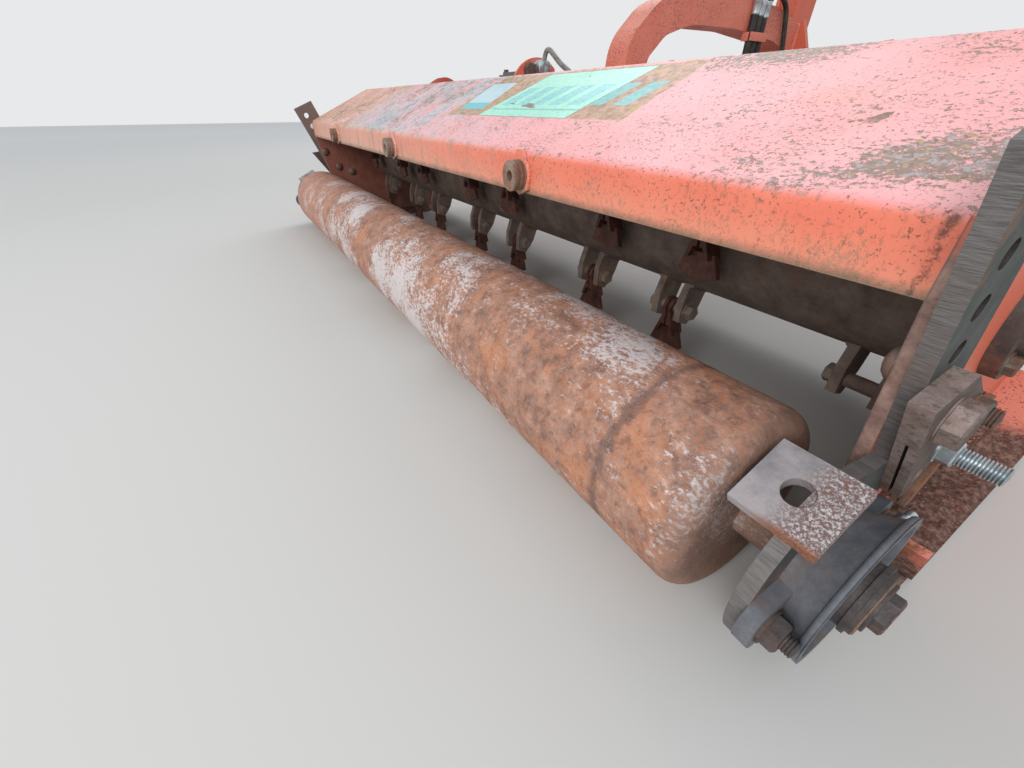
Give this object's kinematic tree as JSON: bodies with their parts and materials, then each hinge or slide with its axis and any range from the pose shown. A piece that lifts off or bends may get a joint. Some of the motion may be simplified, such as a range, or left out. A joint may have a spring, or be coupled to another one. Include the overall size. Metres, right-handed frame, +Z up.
{
  "type": "ditch mower",
  "caption": "Offset flail mower for ditches and verges: tilting hood with rotor and rear ground roller on a swan-neck arm that slides along a three-point headstock.",
  "frame": {"origin": "on the ground, under the middle of the machine's bounding box", "axes": "+X along the rotor to the end away from the belt case, +Y forward to the tractor, +Z up"},
  "size_m": [2, 1.5717, 0.974],
  "materials": {
    "orange_paint": "worn orange enamel with rust at edges",
    "rusty_steel": "rusted rolled steel with rubbed grey patches",
    "dark_steel": "dull plasma-cut plate",
    "cast": "dirty cast iron",
    "rotor_steel": "dirty dull steel",
    "flail_steel": "dark red-brown forged steel",
    "ground_steel": "ground bright steel",
    "rod_chrome": "plated rod",
    "black_paint": "satin black enamel",
    "grey_paint": "grey enamel",
    "flap_rubber": "matte",
    "hose_rubber": "dusty hose cover",
    "brown_paint": "dirty brown enamel"
  },
  "bodies": {
    "headstock": {"headstock": "orange_paint", "rail_plates": "orange_paint", "mast": "orange_paint", "link_plates": "orange_paint", "mast_stay": "orange_paint", "lower_pins": "ground_steel", "slide_rails": "ground_steel", "shift_barrel": "black_paint", "stand_socket": "orange_paint"},
    "carriage": {"carriage": "orange_paint", "shift_rod": "rod_chrome", "swan_neck": "orange_paint", "tilt_pin": "ground_steel", "hose_block": "brown_paint", "hoses": "hose_rubber"},
    "head": {"hood": "orange_paint", "lip_bosses": "rusty_steel", "end_plate_left": "orange_paint", "end_plate_right": "orange_paint", "skid_left": "orange_paint", "skid_right": "orange_paint", "roller_arm_left": "dark_steel", "roller_arm_right": "dark_steel", "arm_bracket_left": "dark_steel", "arm_bracket_right": "dark_steel", "roller_bearing_left": "cast", "roller_bearing_right": "cast", "rotor_bearing": "cast", "gearbox": "grey_paint", "shaft_guard": "orange_paint", "drive_tube": "orange_paint", "belt_case": "orange_paint", "front_beam": "orange_paint", "front_flap": "flap_rubber"},
    "roller": {"roller": "rusty_steel"},
    "rotor": {"rotor": "rotor_steel", "flails": "flail_steel"},
    "input_shaft": {"input_shaft": "ground_steel"},
    "tilt_barrel": {"tilt_barrel": "black_paint"},
    "tilt_rod": {"tilt_rod": "rod_chrome"},
    "stand": {"stand_leg": "orange_paint"}
  },
  "joints": [
    {"name": "side_shift", "type": "slide", "parent": "headstock", "child": "carriage", "axis": [1, 0, 0], "range_m": [-0.345, 0.15]},
    {"name": "head_tilt", "type": "hinge", "parent": "carriage", "child": "head", "pos_m": [0.08, -0.128, 0.42], "axis": [0, -1, 0], "range_deg": [-40, 50]},
    {"name": "rotor_spin", "type": "hinge", "parent": "head", "child": "rotor", "pos_m": [0, -0.39, 0.238], "axis": [1, 0, 0], "continuous": true},
    {"name": "roller_spin", "type": "hinge", "parent": "head", "child": "roller", "pos_m": [0, -0.689, 0.09685], "axis": [1, 0, 0], "continuous": true},
    {"name": "input_spin", "type": "hinge", "parent": "head", "child": "input_shaft", "pos_m": [-0.355, -0.128, 0.426], "axis": [0, 1, 0], "continuous": true},
    {"name": "tilt_barrel_swing", "type": "hinge", "parent": "carriage", "child": "tilt_barrel", "pos_m": [0.08, -0.028, 0.27], "axis": [0, -1, 0], "range_deg": [-41, 51]},
    {"name": "tilt_rod_slide", "type": "slide", "parent": "tilt_barrel", "child": "tilt_rod", "axis": [-0.9918, 0, 0.1275], "range_m": [-0.12, 0.096]},
    {"name": "stand_slide", "type": "slide", "parent": "headstock", "child": "stand", "axis": [0, 0, 1], "range_m": [0, 0.25]}
  ],
  "couplings": [
    {"joint": "tilt_barrel_swing", "follows": "head_tilt", "ratio": 1.0041},
    {"joint": "tilt_rod_slide", "follows": "head_tilt", "m_per_rad": -0.135},
    {"joint": "input_spin", "follows": "rotor_spin", "ratio": 0.25}
  ]
}
